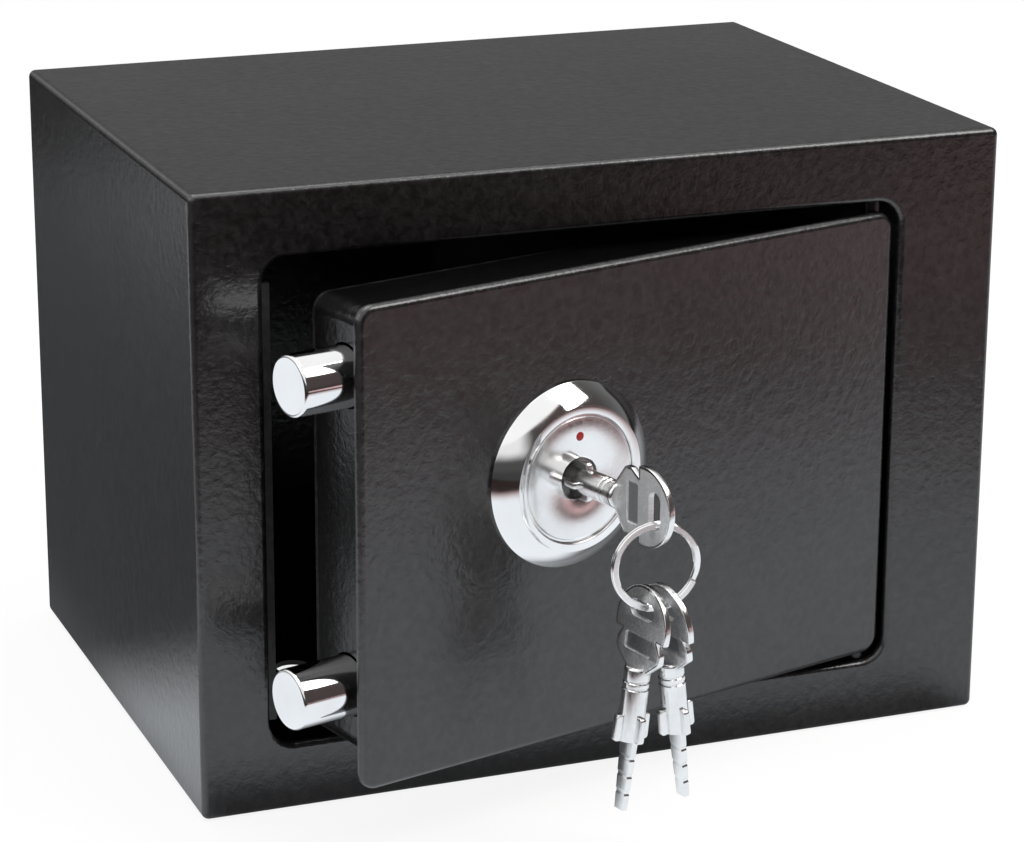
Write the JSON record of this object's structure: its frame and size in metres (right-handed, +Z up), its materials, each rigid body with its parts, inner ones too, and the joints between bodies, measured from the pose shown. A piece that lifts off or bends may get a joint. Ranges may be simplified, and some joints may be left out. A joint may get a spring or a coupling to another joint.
{
  "type": "portable safe",
  "caption": "Small black steel key safe: box cabinet, hinged front door with round chrome bolts, round chrome lock with a key in it, and spare keys on a ring.",
  "frame": {"origin": "centre of the cabinet's base, on the surface that it stands on", "axes": "+Z up, the door faces -Y, +X to the right as seen from the front (hinge side)"},
  "size_m": [0.23, 0.2431, 0.17],
  "materials": {
    "black_paint": "black powder coat with a fine orange-peel texture",
    "zinc_steel": "zinc-plated steel",
    "bolt_chrome": "polished chrome",
    "lock_chrome": "polished chrome",
    "red_enamel": "red enamel",
    "zinc_alloy": "cast zinc alloy",
    "plug_brass": "turned brass",
    "key_nickel": "nickel-plated steel",
    "ring_steel": "nickel-plated spring steel"
  },
  "bodies": {
    "cabinet": {"body_wrap": "black_paint", "front_frame": "black_paint", "back_panel": "black_paint", "strike_strip": "black_paint", "hinge_bracket_upper": "black_paint", "hinge_bracket_lower": "black_paint", "door_stop_upper": "black_paint", "door_stop_lower": "black_paint"},
    "door": {"door_panel": "black_paint", "door_case": "black_paint", "door_back_cover": "black_paint", "cover_screws": "zinc_steel", "hinge_knuckle_upper": "zinc_steel", "hinge_knuckle_lower": "zinc_steel", "hinge_pin_upper": "zinc_steel", "hinge_pin_lower": "zinc_steel", "carriage_posts": "zinc_steel", "post_screws": "zinc_steel", "lock_rosette": "lock_chrome", "lock_face_plate": "lock_chrome", "index_dot": "red_enamel", "lock_housing": "zinc_alloy", "lock_nut": "zinc_steel", "bolt_guide_upper": "zinc_steel", "bolt_guide_lower": "zinc_steel"},
    "plug": {"lock_plug": "plug_brass", "lock_cam": "zinc_steel", "cam_pin": "zinc_steel", "cam_nut": "zinc_steel"},
    "bolts": {"bolt_carriage": "zinc_steel", "bolt_screws": "zinc_steel", "bolt_upper": "bolt_chrome", "bolt_lower": "bolt_chrome"},
    "key": {"lock_key": "key_nickel"},
    "ring": {"key_ring": "ring_steel"},
    "left_spare": {"spare_key_left": "key_nickel"},
    "right_spare": {"spare_key_right": "key_nickel"}
  },
  "joints": [
    {"name": "door_hinge", "type": "hinge", "parent": "cabinet", "child": "door", "pos_m": [0.0791, -0.0798, 0], "axis": [0, 0, 1], "range_deg": [-14.6, 80.4]},
    {"name": "key_turn", "type": "hinge", "parent": "door", "child": "plug", "pos_m": [-0.02265, -0.11168, 0.0946], "axis": [-0.2521, 0.9677, 0], "range_deg": [0, 90]},
    {"name": "bolt_slide", "type": "slide", "parent": "door", "child": "bolts", "axis": [-0.9677, -0.2521, 0], "range_m": [-0.014, 0]},
    {"name": "key_pull", "type": "slide", "parent": "plug", "child": "key", "axis": [0.2521, -0.9677, 0], "range_m": [0, 0.021]},
    {"name": "ring_swing", "type": "hinge", "parent": "key", "child": "ring", "pos_m": [-0.01329, -0.14758, 0.0911], "axis": [-0.9982, 0.0593, 0], "range_deg": [-8, 60]},
    {"name": "left_spare_swing", "type": "hinge", "parent": "ring", "child": "left_spare", "pos_m": [-0.01589, -0.14742, 0.06931], "axis": [-0.9778, -0.2096, 0], "range_deg": [-20, 20]},
    {"name": "right_spare_swing", "type": "hinge", "parent": "ring", "child": "right_spare", "pos_m": [-0.0107, -0.14773, 0.06931], "axis": [-0.9778, -0.2096, 0], "range_deg": [-20, 20]}
  ],
  "couplings": [
    {"joint": "key_turn", "follows": "bolt_slide", "rad_per_m": -112.2}
  ]
}
